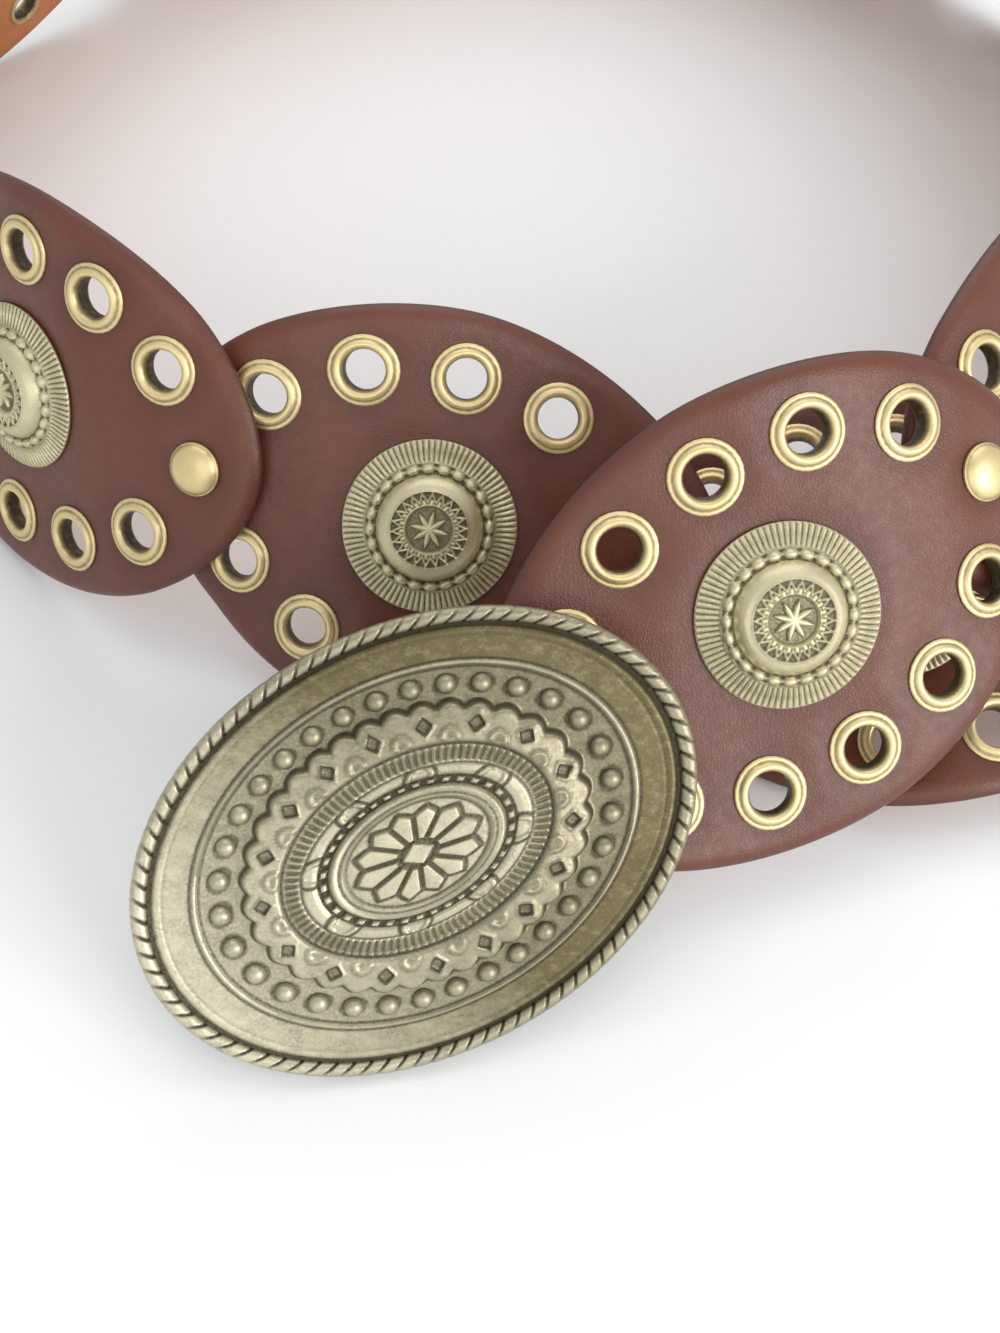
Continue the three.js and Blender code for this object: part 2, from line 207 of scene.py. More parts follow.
class BentDisc:
    """A disc that bends and twists away from its middle so that its tips lie flat."""

    def __init__(self, lie):
        self.turn = lie_turn(*lie)
        self.front = self.turn[:, 2]
        self.centre = np.zeros(3)

    def turn_to(self, normal):
        x, y, z = self.turn.T @ normal
        return math.atan2(x, z), math.asin(y)

    def set_tips(self, left, right):
        left, right = np.array(left), np.array(right)
        self.rate = (right - left) / (2 * FLAT_FROM)
        self.growth = (right + left) / (2 * FLAT_FROM * FLAT_FROM)

    def bend_and_twist(self, along):
        bent = np.clip(along, -FLAT_FROM, FLAT_FROM)
        return [bent * (self.rate[k] + self.growth[k] * bent) for k in (0, 1)]

    def normals(self, along):
        bend, twist = self.bend_and_twist(along)
        return np.stack(
            [np.cos(twist) * np.sin(bend), np.sin(twist), np.cos(twist) * np.cos(bend)], axis=-1
        )

    def offset(self, points):
        """Turns flat points (along, across, above) into offsets from the disc's centre."""
        along, across, above = np.asarray(points, float).T
        bend, twist = self.bend_and_twist(along)
        spine = np.zeros((len(along), 3))
        for step in range(BEND_STEPS):
            here = self.bend_and_twist(along * (step + 0.5) / BEND_STEPS)[0]
            spine[:, 0] += along * np.cos(here) / BEND_STEPS
            spine[:, 2] -= along * np.sin(here) / BEND_STEPS
        ruling = np.stack(
            [-np.sin(twist) * np.sin(bend), np.cos(twist), -np.sin(twist) * np.cos(bend)], axis=-1
        )
        bent = spine + ruling * across[:, None] + self.normals(along) * above[:, None]
        seat = eased(np.hypot(along, across), FLAT_MIDDLE, BENT_FROM)[:, None]
        return (points * (1 - seat) + bent * seat) @ self.turn.T

    def place(self, points):
        return self.offset(points) + self.centre

    def set_on(self, along):
        """Matrix, in metres, that sets a turned piece upright on the disc's centre line."""
        normal = Vector(self.normals(np.array(along)))
        turn = Vector((0, 0, 1)).rotation_difference(normal).to_matrix()
        matrix = (Matrix(self.turn) @ turn).to_4x4()
        matrix.translation = Vector(self.place(np.array([[along, 0, 0]]))[0]) * MM
        return matrix @ Matrix.Scale(MM, 4)


def lay_chain():
    """Lays the discs out from the first: each right tip lies over the next one's left tip."""
    discs = [BentDisc(lie) for lie in DISC_LIES]
    tips = []
    for disc, following in zip(discs, discs[1:]):
        normal = disc.front + following.front
        tips.append(normal / np.linalg.norm(normal))
    for k, disc in enumerate(discs):
        left = disc.turn_to(tips[k - 1]) if k else np.radians(BUCKLE_TIP)
        right = disc.turn_to(tips[k]) if k < len(tips) else np.radians(FREE_TIP)
        disc.set_tips(left, right)
    discs[0].centre = np.array(FIRST_DISC_CENTRE, float)
    for disc, following in zip(discs, discs[1:]):
        joint = disc.place(np.array([[RIVET_OFFSET, 0, -LEATHER - LAYER_GAP / 2]]))[0]
        under = np.array([[-RIVET_OFFSET, 0, LAYER_GAP / 2]])
        following.centre = joint - following.offset(under)[0]
    return discs


def frame_origin(disc):
    """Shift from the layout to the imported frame, found from the first ornament's box."""
    angles = (np.arange(ORNAMENT_SIDES) + 0.5) * 2 * math.pi / ORNAMENT_SIDES
    rings = [
        np.stack([radius * np.cos(angles), radius * np.sin(angles), height + 0 * angles], axis=-1)
        for radius, height in ORNAMENT_RINGS
    ]
    corners = np.concatenate(rings) @ disc.turn.T + disc.centre
    middle = (corners.min(axis=0) + corners.max(axis=0)) / 2
    low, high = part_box("concho_01")
    return np.array((low + high) / 2) / MM - middle


DISCS = lay_chain()
ORIGIN = frame_origin(DISCS[0])
for bent_disc in DISCS:
    bent_disc.centre = bent_disc.centre + ORIGIN


# Meshes


def points_of(mesh):
    points = np.empty(len(mesh.vertices) * 3)
    mesh.vertices.foreach_get("co", points)
    return points.reshape(-1, 3)


def set_points(mesh, points):
    mesh.vertices.foreach_set("co", np.asarray(points, np.float32).ravel())
    mesh.update()


def store(mesh, name, values):
    """Keeps one number for each point of a mesh, for its material to read."""
    attribute = mesh.attributes.get(name) or mesh.attributes.new(name, "FLOAT", "POINT")
    attribute.data.foreach_set("value", np.asarray(values, np.float32))


def mesh_of(shape, name):
    """Turns a finished bmesh into a mesh."""
    mesh = bpy.data.meshes.new(name)
    shape.to_mesh(mesh)
    shape.free()
    return mesh


def spin_round(shape, steps):
    """Spins everything in a bmesh once round the Z axis into a closed skin."""
    bmesh.ops.spin(
        shape, geom=shape.verts[:] + shape.edges[:], cent=(0, 0, 0), axis=(0, 0, 1),
        angle=2 * math.pi, steps=steps, use_merge=True,
    )
    bmesh.ops.remove_doubles(shape, verts=shape.verts, dist=1e-4)
    bmesh.ops.recalc_face_normals(shape, faces=shape.faces)


def spun_mesh(name, profile, steps, cuts=(), closed=False):
    """Mesh turned from a profile of (radius, height) points. Cuts are (edge, count) pairs."""
    shape = bmesh.new()
    points = [shape.verts.new((radius, 0, height)) for radius, height in profile]
    edges = [shape.edges.new(pair) for pair in zip(points, points[1:])]
    if closed:
        shape.edges.new((points[-1], points[0]))
    for index, count in cuts:
        bmesh.ops.subdivide_edges(shape, edges=[edges[index]], cuts=count)
    spin_round(shape, steps)
    return mesh_of(shape, name)


def join_meshes(name, parts):
    """One mesh from copies of meshes, each moved by its matrix."""
    shape = bmesh.new()
    for mesh, matrix in parts:
        first = len(shape.verts)
        shape.from_mesh(mesh)
        shape.verts.ensure_lookup_table()
        bmesh.ops.transform(shape, matrix=matrix, verts=shape.verts[first:])
    return mesh_of(shape, name)


def add_piece(name, mesh, materials, replaced, smooth_angle):
    """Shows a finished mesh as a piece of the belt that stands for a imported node."""
    mesh.name = name
    for material in materials:
        mesh.materials.append(bpy.data.materials[material])
    mesh.shade_smooth()
    mesh.set_sharp_from_angle(angle=math.radians(smooth_angle))
    piece = bpy.data.objects.new(name, mesh)
    bpy.context.scene.collection.objects.link(piece)
    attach(piece, "root")
    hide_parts(replaced)


def set_upright(kind, turned, discs, along, material, node, smooth_angle):
    """Sets a copy of a turned piece upright on each disc, at a distance along it."""
    for number, disc in enumerate(discs, 1):
        mesh = turned.copy()
        mesh.transform(disc.set_on(along))
        name = f"{kind}_{number:02d}"
        add_piece(name, mesh, [material], f"{node}_{number:02d}", smooth_angle)


def polar(points):
    """Distance of each point from the Z axis, and its angle round it."""
    return np.hypot(points[:, 0], points[:, 1]), np.arctan2(points[:, 1], points[:, 0])


def read_table(table, values):
    """Reads values off a table of pairs, in straight lines between them."""
    return np.interp(values, *np.transpose(table))


def hill(distance, half_width):
    """Round-topped ridge: 1 in its middle, 0 from half_width outwards."""
    return np.sqrt(np.clip(1 - (distance / half_width) ** 2, 0, 1))


# Shader nodes


def add_node(tree, kind, **settings):
    node = tree.nodes.new(kind)
    for key, value in settings.items():
        setattr(node, key, value)
    return node


def set_input(tree, socket, value):
    """Sets an input to a value or an opaque colour, or feeds it from another node's output."""
    if isinstance(value, bpy.types.NodeSocket):
        tree.links.new(value, socket)
    elif socket.type == "RGBA":
        socket.default_value = (*value[:3], 1)
    else:
        socket.default_value = value


def feed(tree, node, **inputs):
    """Sets a node's inputs by name, with underscores for spaces."""
    for key, value in inputs.items():
        set_input(tree, node.inputs[key.replace("_", " ")], value)
    return node


def mix_colour(tree, factor, first, second):
    node = add_node(tree, "ShaderNodeMix", data_type="RGBA")
    for index, value in ((0, factor), (6, first), (7, second)):
        set_input(tree, node.inputs[index], value)
    return node.outputs[2]


def calculate(tree, operation, first, second=0.0, third=0.0, clamp=False):
    node = add_node(tree, "ShaderNodeMath", operation=operation, use_clamp=clamp)
    for socket, value in zip(node.inputs, (first, second, third)):
        set_input(tree, socket, value)
    return node.outputs[0]


def scaled(tree, value, factor, plus, clamp=False):
    return calculate(tree, "MULTIPLY_ADD", value, factor, plus, clamp)


def ranged(tree, value, low, high, to_low=0.0, to_high=1.0):
    node = add_node(tree, "ShaderNodeMapRange", clamp=True)
    feed(tree, node, Value=value, From_Min=low, From_Max=high, To_Min=to_low, To_Max=to_high)
    return node.outputs[0]


def new_group(name, inputs, outputs):
    """Node group that takes a Vector and the named inputs, given with their defaults."""
    group = bpy.data.node_groups.new(name, "ShaderNodeTree")
    group.interface.new_socket("Vector", in_out="INPUT", socket_type="NodeSocketVector")
    for socket_name, default in inputs.items():
        kind = "NodeSocketColor" if isinstance(default, tuple) else "NodeSocketFloat"
        socket = group.interface.new_socket(socket_name, in_out="INPUT", socket_type=kind)
        socket.default_value = default
    for socket_name in outputs:
        kind = "NodeSocketColor" if socket_name == "Color" else "NodeSocketFloat"
        group.interface.new_socket(socket_name, in_out="OUTPUT", socket_type=kind)
    start = group.nodes.new("NodeGroupInput")
    return group, start.outputs, group.nodes.new("NodeGroupOutput")


def use_group(tree, group, **inputs):
    node = tree.nodes.new("ShaderNodeGroup")
    node.node_tree = group
    return feed(tree, node, **inputs).outputs


def noise(tree, vector, scale, detail, roughness=0.55):
    node = add_node(tree, "ShaderNodeTexNoise")
    feed(tree, node, Vector=vector, Scale=scale, Detail=detail, Roughness=roughness)
    return node.outputs[0]


def bump(tree, height, strength, distance):
    node = add_node(tree, "ShaderNodeBump")
    return feed(tree, node, Height=height, Strength=strength, Distance=distance).outputs[0]


def stored(tree, name):
    """Number that a mesh keeps for each of its points."""
    return add_node(tree, "ShaderNodeAttribute", attribute_name=name).outputs["Fac"]


def build_clouding_group():
    """Soft blotches at two sizes, for colour that wanders over a surface."""
    group, given, result = new_group("Clouding", {"Size": 0.01}, ("Broad", "Fine"))
    scale = calculate(group, "DIVIDE", 1.0, given["Size"])
    broad = noise(group, given["Vector"], scale, detail=2.0)
    fine = noise(group, given["Vector"], calculate(group, "MULTIPLY", scale, 9.0), detail=4.0)
    feed(group, result, Broad=ranged(group, broad, 0.3, 0.7), Fine=ranged(group, fine, 0.3, 0.7))
    return group


def build_grain_group():
    """Pebbled leather grain: small raised cells parted by fine creases."""
    group, given, result = new_group("Leather grain", {"Size": 0.001}, ("Height", "Crease"))
    scale = calculate(group, "DIVIDE", 1.0, given["Size"])
    cells = add_node(group, "ShaderNodeTexVoronoi", feature="DISTANCE_TO_EDGE")
    feed(group, cells, Vector=given["Vector"], Scale=scale)
    crease = ranged(group, cells.outputs["Distance"], 0.0, 0.22, 1.0, 0.0)
    soft = noise(group, given["Vector"], calculate(group, "MULTIPLY", scale, 0.45), detail=4.0)
    height = scaled(group, crease, -0.5, soft)
    feed(group, result, Height=height, Crease=crease)
    return group


def build_patina_group(clouding):
    """Worn cast brass: bright on its high parts, toned in its hollows and dark in its grooves; its
    dark also paints the shade that some pieces mark in their recess.
    """
    group, given, result = new_group(
        "Antique patina",
        {
            "Recess": 0.0, "Bright": (0.6, 0.5, 0.3, 1), "Dark": (0.03, 0.02, 0.01, 1),
            "Speck Size": 0.004, "Wear": 0.3,
        },
        ("Color", "Roughness", "Metallic", "Height"),
    )
    clouds = use_group(group, clouding, Vector=given["Vector"], Size=given["Speck Size"])
    speck = scaled(group, clouds["Fine"], 0.24, -0.12)
    recess = calculate(group, "ADD", given["Recess"], speck)
    hollow = ranged(group, recess, 0.1, 0.6)
    groove = ranged(group, recess, 0.55, 1.0, 0.0, 0.92)
    toned = mix_colour(group, 0.5, given["Bright"], given["Dark"])
    blotch = calculate(group, "MULTIPLY", clouds["Broad"], clouds["Fine"])
    worn = calculate(group, "MULTIPLY", blotch, given["Wear"], clamp=True)
    tinted = mix_colour(group, worn, given["Bright"], toned)
    tinted = mix_colour(group, hollow, tinted, toned)
    roughness = scaled(group, hollow, 0.1, 0.36)
    roughness = scaled(group, groove, 0.2, roughness)
    feed(
        group, result, Color=mix_colour(group, groove, tinted, given["Dark"]),
        Roughness=scaled(group, clouds["Fine"], 0.14, roughness),
        Metallic=ranged(group, groove, 0.0, 0.92, 0.78, 0.4), Height=clouds["Fine"],
    )
    return group


def new_material(name):
    """New material's node tree, its shader and the place on the piece that patterns follow."""
    material = bpy.data.materials.new(name)
    material.use_nodes = True
    tree = material.node_tree
    place = add_node(tree, "ShaderNodeTexCoord").outputs["Object"]
    return tree, tree.nodes["Principled BSDF"], place


def face_leather(settings, clouding, grain):
    """Smooth reddish-brown front with a satin sheen, a dark burnished rim and painted shade round
    the fittings.
    """
    tree, shader, place = new_material("leather_face")
    clouds = use_group(tree, clouding, Vector=place, Size=0.016)
    pores = use_group(tree, grain, Vector=place, Size=settings.grain)
    shade = scaled(tree, clouds["Broad"], 0.45, 0.0)
    shade = scaled(tree, clouds["Fine"], 0.22, shade)
    shade = scaled(tree, pores["Crease"], 0.12, shade)
    # Painted shade: the front is darkened towards the shade colour round the eyelets, ornament and
    # rivet.
    shade = scaled(tree, stored(tree, "press"), 0.4, shade, clamp=True)
    body = mix_colour(tree, shade, settings.face, settings.shade)
    feed(
        tree, shader, Base_Color=mix_colour(tree, stored(tree, "rim"), body, settings.edge),
        Roughness=scaled(tree, clouds["Fine"], 0.12, 0.36),
        Specular_IOR_Level=0.55, Sheen_Weight=0.04, Sheen_Roughness=0.45,
        Normal=bump(tree, pores["Height"], strength=0.24, distance=0.0002),
    )


def back_leather(settings, clouding, grain):
    """Raw tan back with a dull, slightly fibrous surface."""
    tree, shader, place = new_material("leather_back")
    clouds = use_group(tree, clouding, Vector=place, Size=0.02)
    pores = use_group(tree, grain, Vector=place, Size=settings.grain)
    shade = scaled(tree, clouds["Broad"], 0.25, 0.0)
    shade = scaled(tree, clouds["Fine"], 0.3, shade)
    darker = tuple(0.62 * channel for channel in settings.back)
    feed(
        tree, shader, Base_Color=mix_colour(tree, shade, settings.back, darker),
        Roughness=ranged(tree, clouds["Fine"], 0, 1, 0.6, 0.78),
        Normal=bump(tree, pores["Height"], strength=0.3, distance=0.0003),
    )


def buckle_tone(tree, place, settings):
    """Colour of the buckle's high parts, from a painted silvery reflection at the left to toned and
    painted shade at the upper right, each ring taking its stored share.
    """
    low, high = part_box("buckle")
    axis = feed(tree, add_node(tree, "ShaderNodeSeparateXYZ"), Vector=place).outputs
    # Painted light: the high parts are painted silvery towards the left and lower side as a
    # reflection, and darker towards the upper right as shade.
    sideways = ranged(tree, axis["X"], low.x, high.x, -0.8, 0.8)
    upward = ranged(tree, axis["Z"], low.z, high.z, -0.45, 0.45)
    share = ranged(tree, calculate(tree, "ADD", sideways, upward), -1.0, 0.1, 0.05, 1.05)
    streaks = add_node(tree, "ShaderNodeMapping")
    feed(tree, streaks, Vector=place, Rotation=(0.5, 0.9, 0.4), Scale=(2.5, 4, 4))
    swirl = noise(tree, streaks.outputs[0], scale=200, detail=6, roughness=0.7)
    share = calculate(tree, "ADD", share, ranged(tree, swirl, 0.3, 0.7, -0.22, 0.1))
    share = calculate(tree, "MULTIPLY", share, stored(tree, "tarnish"), clamp=True)
    return mix_colour(tree, share, settings.pale_brass_and_sheen, settings.toned)


def cast_brass(name, patina, settings, wear, toned=False):
    """Antique cast brass: olive, or across the buckle going from a painted silvery reflection at
    the left to toned at the upper right.
    """
    tree, shader, place = new_material(name)
    tone = buckle_tone(tree, place, settings) if toned else settings.olive
    worn = use_group(
        tree, patina, Vector=place, Recess=stored(tree, "recess"), Bright=tone,
        Dark=settings.dark, Speck_Size=0.004, Wear=wear,
    )
    feed(
        tree, shader, Base_Color=worn["Color"], Roughness=worn["Roughness"],
        Metallic=worn["Metallic"],
        Normal=bump(tree, worn["Height"], strength=0.14, distance=0.0001),
    )


def pressed_brass(name, patina, settings):
    """Bright pressed brass of the eyelets and rivets, toned in its folds and painted dark down the
    eyelets' bores as shade.
    """
    tree, shader, place = new_material(name)
    worn = use_group(
        tree, patina, Vector=place, Recess=stored(tree, "recess"), Bright=settings.bright,
        Dark=settings.dark, Speck_Size=0.01, Wear=0.12,
    )
    feed(
        tree, shader, Base_Color=worn["Color"],
        Roughness=ranged(tree, worn["Roughness"], 0.36, 0.8, 0.4, 0.58),
        Metallic=worn["Metallic"],
        Normal=bump(tree, worn["Height"], strength=0.12, distance=0.00006),
    )


# Operators


class BELT_OT_materials(bpy.types.Operator):
    """Builds the leather and brass materials"""

    bl_idname = "belt.materials"
    bl_label = "Materials"

    def execute(self, context):
        leather = context.scene.belt_leather
        metal = context.scene.belt_metal
        clouding = build_clouding_group()
        grain = build_grain_group()
        patina = build_patina_group(clouding)
        face_leather(leather, clouding, grain)
        back_leather(leather, clouding, grain)
        cast_brass("cast_buckle", patina, metal, wear=0.9, toned=True)
        cast_brass("cast_ornament", patina, metal, wear=0.35)
        pressed_brass("pressed_brass", patina, metal)
        return {"FINISHED"}


# Rolled edge of the leather, from its front to its back: distance in from the outline and height.
# The edge keeps its width all round the oval.
EDGE_WIDTH = 5
LEATHER_EDGE = (
    (5, 0), (3.6, -0.05), (2.4, -0.22), (1.4, -0.58), (0.7, -1.05), (0.2, -1.6),
    (0, -2.1), (0.1, -2.5), (0.45, -2.82), (1, -3), (5, -3),
)
DISC_STEPS = 144
FRONT_RINGS = 22
BACK_RINGS = 12
HOLE_RADIUS = 5.35
HOLE_SIDES = 28
# Seats that the fittings press into the leather: their radius, and how far the press reaches. The
# same reach paints shade on the leather round each fitting.
EYELET_SEAT = (6.5, 2.4)
ORNAMENT_SEAT = (15.5, 3)
RIVET_SEAT = (4.8, 1.7)
EYELET_SINK = 0.3
ORNAMENT_SINK = 0.35
RIVET_SINK = 0.4
RIPPLE = 0.12
RIM_WIDTH = 1.3


def oval_points(points):
    """Stretches a round flat disc to the oval outline, keeping its edge's width."""
    radius, angle = polar(points)
    power = 2 / DISC_ROUNDNESS
    x = DISC_HALF_LENGTH * np.sign(np.cos(angle)) * np.abs(np.cos(angle)) ** power
    y = DISC_HALF_WIDTH * np.sign(np.sin(angle)) * np.abs(np.sin(angle)) ** power
    slope = np.stack([
        np.sign(x) * np.abs(x / DISC_HALF_LENGTH) ** (DISC_ROUNDNESS - 1) / DISC_HALF_LENGTH,
        np.sign(y) * np.abs(y / DISC_HALF_WIDTH) ** (DISC_ROUNDNESS - 1) / DISC_HALF_WIDTH,
    ], axis=-1)
    slope /= np.linalg.norm(slope, axis=-1, keepdims=True)
    inset = np.clip(DISC_HALF_WIDTH - radius, 0, EDGE_WIDTH)
    inner = np.clip(radius / (DISC_HALF_WIDTH - EDGE_WIDTH), 0, 1)
    plan = (np.stack([x, y], axis=-1) - slope * inset[:, None]) * inner[:, None]
    return np.column_stack([plan, points[:, 2]])


def press_near(points, spots, seat):
    """How strongly the leather is pressed down around fittings: 1 under them, 0 away. It both sinks
    the leather and paints shade on it.
    """
    radius, reach = seat
    press = np.zeros(len(points))
    for x, y in spots:
        distance = np.hypot(points[:, 0] - x, points[:, 1] - y)
        press = np.maximum(press, np.exp(-(np.clip(distance - radius, 0, None) / reach) ** 2))
    return press


def flat_leather():
    """One flat leather disc with its ten holes, from a spun profile cut by cylinders."""
    rolled = [(DISC_HALF_WIDTH - inset, height) for inset, height in LEATHER_EDGE]
    profile = [(0, 0), *rolled, (0, -LEATHER)]
    mesh = spun_mesh("flat_leather", profile, DISC_STEPS, ((0, FRONT_RINGS), (-1, BACK_RINGS)))
    set_points(mesh, oval_points(points_of(mesh)))

    holes = bmesh.new()
    for x, y in EYELET_SPOTS:
        bmesh.ops.create_cone(
            holes, cap_ends=True, segments=HOLE_SIDES, radius1=HOLE_RADIUS, radius2=HOLE_RADIUS,
            depth=4 * LEATHER, matrix=Matrix.Translation((x, y, -LEATHER / 2)),
        )
    disc = bpy.data.objects.new("flat_leather", mesh)
    cutter = bpy.data.objects.new("holes", mesh_of(holes, "holes"))
    for item in (disc, cutter):
        bpy.context.scene.collection.objects.link(item)
    cut = disc.modifiers.new("holes", "BOOLEAN")
    cut.operation = "DIFFERENCE"
    cut.object = cutter
    cut.solver = "EXACT"
    graph = bpy.context.evaluated_depsgraph_get()
    pierced = bpy.data.meshes.new_from_object(disc.evaluated_get(graph))
    for item in (disc, cutter):
        bpy.data.objects.remove(item)
    middle_x, middle_y = EYELET_SPOTS[0]
    flat = points_of(pierced)
    if (np.hypot(flat[:, 0] - middle_x, flat[:, 1] - middle_y) < 0.9 * HOLE_RADIUS).any():
        raise RuntimeError("the holes were not cut through the leather")
    shape = bmesh.new()
    shape.from_mesh(pierced)
    bmesh.ops.triangulate(shape, faces=[face for face in shape.faces if len(face.verts) > 4])
    return mesh_of(shape, "pierced_leather")


def edge_distance(points):
    """Rough distance in from the oval outline, in millimetres."""
    x, y = np.abs(points[:, 0]) / DISC_HALF_LENGTH, np.abs(points[:, 1]) / DISC_HALF_WIDTH
    level = (x ** DISC_ROUNDNESS + y ** DISC_ROUNDNESS) ** (1 / DISC_ROUNDNESS)
    return (1 - level) * polar(points)[0] / np.maximum(level, 1e-6)


class BELT_OT_leather(bpy.types.Operator):
    """Models the leather discs with rolled edges, holes and pressed-in seats"""

    bl_idname = "belt.leather"
    bl_label = "Leather discs"

    def execute(self, context):
        flat = flat_leather()
        points = points_of(flat)
        faces = [(face.normal.z, face.center.z) for face in flat.polygons]
        backward = [int(facing < -0.6 and height < 0.9 * -LEATHER) for facing, height in faces]
        front = eased(points[:, 2], -LEATHER + 0.4, -0.9)
        eyelets = press_near(points, EYELET_SPOTS, EYELET_SEAT)
        ornament = press_near(points, [(0, 0)], ORNAMENT_SEAT)
        rivet = press_near(points, [(RIVET_OFFSET, 0)], RIVET_SEAT)
        edge = edge_distance(points)
        rim = 0.8 * (1 - eased(edge, 0, RIM_WIDTH) * front)
        for number, disc in enumerate(DISCS, 1):
            # Round the fittings the leather is sunk and also painted darker, as painted shade.
            press = np.maximum(eyelets, ornament)
            sunk = EYELET_SINK * eyelets + ORNAMENT_SINK * ornament
            if number < len(DISCS):
                press = np.maximum(press, rivet)
                sunk = sunk + RIVET_SINK * rivet
            wave = np.sin(points[:, 0] / 9 + number) * np.cos(points[:, 1] / 8 + 2.3 * number)
            ripple = RIPPLE * wave * eased(edge, 0, 8) * (1 - eyelets)
            shaped = points.copy()
            shaped[:, 2] += (ripple - sunk) * front
            mesh = flat.copy()
            set_points(mesh, disc.place(shaped) * MM)
            store(mesh, "rim", np.clip(rim, 0, 1))
            store(mesh, "press", press)
            mesh.polygons.foreach_set("material_index", backward)
            sides = ["leather_face", "leather_back"]
            add_piece(f"leather_{number:02d}", mesh, sides, f"disc_{number:02d}", 50)
        return {"FINISHED"}


# Brass profiles: radius, height over the leather's front, and how dark the metal is there: toned
# patina in its creases, and painted shade down the eyelet's bore.
# The eyelet's runs from its flange over the raised ring, down the bore and round the rolled back.
EYELET_PROFILE = (
    (6.4, -0.28, 0.5), (6.52, -0.05, 0.2), (6.38, 0.2, 0.05), (6.02, 0.33, 0.1), (5.72, 0.26, 0.65),
    (5.52, 0.42, 0.5), (5.28, 0.74, 0.05), (4.88, 0.95, 0), (4.46, 0.91, 0), (4.1, 0.6, 0.15),
    # Painted shade: the bore is painted fully dark.
    (3.85, 0.1, 0.6), (3.75, -0.7, 1), (3.75, -2.7, 1), (4, -3.25, 0.6), (4.5, -3.5, 0.3),
    (5.1, -3.4, 0.35), (5.3, -3.05, 0.6), (5.2, -1.6, 0.9),
)
EYELET_STEPS = 28
RIVET_PROFILE = (
    (0, 2.05, 0), (1.6, 1.98, 0), (2.9, 1.72, 0), (3.9, 1.28, 0), (4.5, 0.8, 0.1),
    (4.62, 0.52, 0.5), (5, 0.3, 0.1), (5.05, 0, 0.1), (4.9, -0.3, 0.6), (1.5, -0.35, 0.9),
    (1.5, -7.6, 0.9), (3.8, -7.7, 0.6), (4, -8, 0.2), (3.5, -8.45, 0.1), (0, -8.8, 0),
)
RIVET_STEPS = 40


def toned_mesh(name, profile, steps, closed=False):
    """Turned mesh whose profile's third column is kept as its recess."""
    table = np.array(profile)
    mesh = spun_mesh(name, table[:, :2], steps, closed=closed)
    points = points_of(mesh)
    off_radius = polar(points)[0][:, None] - table[None, :, 0]
    off_height = points[:, 2][:, None] - table[None, :, 1]
    nearest = np.hypot(off_radius, off_height).argmin(axis=1)
    store(mesh, "recess", table[nearest, 2])
    return mesh


class BELT_OT_eyelets(bpy.types.Operator):
    """Models the pressed brass eyelets, ten to a disc"""

    bl_idname = "belt.eyelets"
    bl_label = "Eyelets"

    def execute(self, context):
        eyelet = toned_mesh("eyelet", EYELET_PROFILE, EYELET_STEPS, closed=True)
        spots = [(eyelet, Matrix.Translation((x, y, 0))) for x, y in EYELET_SPOTS]
        flat = join_meshes("flat_eyelets", spots)
        points = points_of(flat)
        for number, disc in enumerate(DISCS, 1):
            mesh = flat.copy()
            set_points(mesh, disc.place(points) * MM)
            name = f"eyelets_{number:02d}"
            add_piece(name, mesh, ["pressed_brass"], f"disc_{number:02d}", 60)
        return {"FINISHED"}


class BELT_OT_rivets(bpy.types.Operator):
    """Models the domed brass rivets that join the discs' tips"""

    bl_idname = "belt.rivets"
    bl_label = "Rivets"

    def execute(self, context):
        rivet = toned_mesh("rivet", RIVET_PROFILE, RIVET_STEPS)
        joined = DISCS[:-1]
        set_upright("rivet_cap", rivet, joined, RIVET_OFFSET, "pressed_brass", "rivet", 50)
        return {"FINISHED"}


# Round ornament: heights of its plain form by radius, and the counts of its worked details
ORNAMENT_FORM = (
    (0, 3.55), (4.05, 3.5), (4.35, 4.1), (7.2, 4.4), (7.5, 4.3), (8.3, 3.9), (9.1, 3.2),
    (9.6, 2.4), (9.85, 1.9), (10.1, 1.6), (11.55, 1.45), (11.8, 1.7), (12.1, 1.5), (15.7, 0.7),
    (16, 0.45),
)
ORNAMENT_FACE_RADIUS = 11.9
ORNAMENT_FACE_RINGS = 41
ORNAMENT_FACE_STEPS = 264
# The flange and the back. Points at this height are lifted onto the form with the face's.
UNSHAPED = 1
FLANGE_RADII = (11.85, 12.05, 12.35, 14, 15.7, 16)
ORNAMENT_BACK = (
    (16.05, 0), (15.9, -0.25), (15.2, -0.3), (1.6, -0.3), (1.5, -3.6), (3.5, -3.7), (3.2, -4.2),
    (0, -4.4),
)
STAR_RAYS = 8
LACE_TEETH = 22
LACE_RADIUS = 5.05
LACE_DEPTH = 1.55
RICE_BEADS = 24
BEAD_RING_RADIUS = 10.9
FLANGE_RIBS = 88


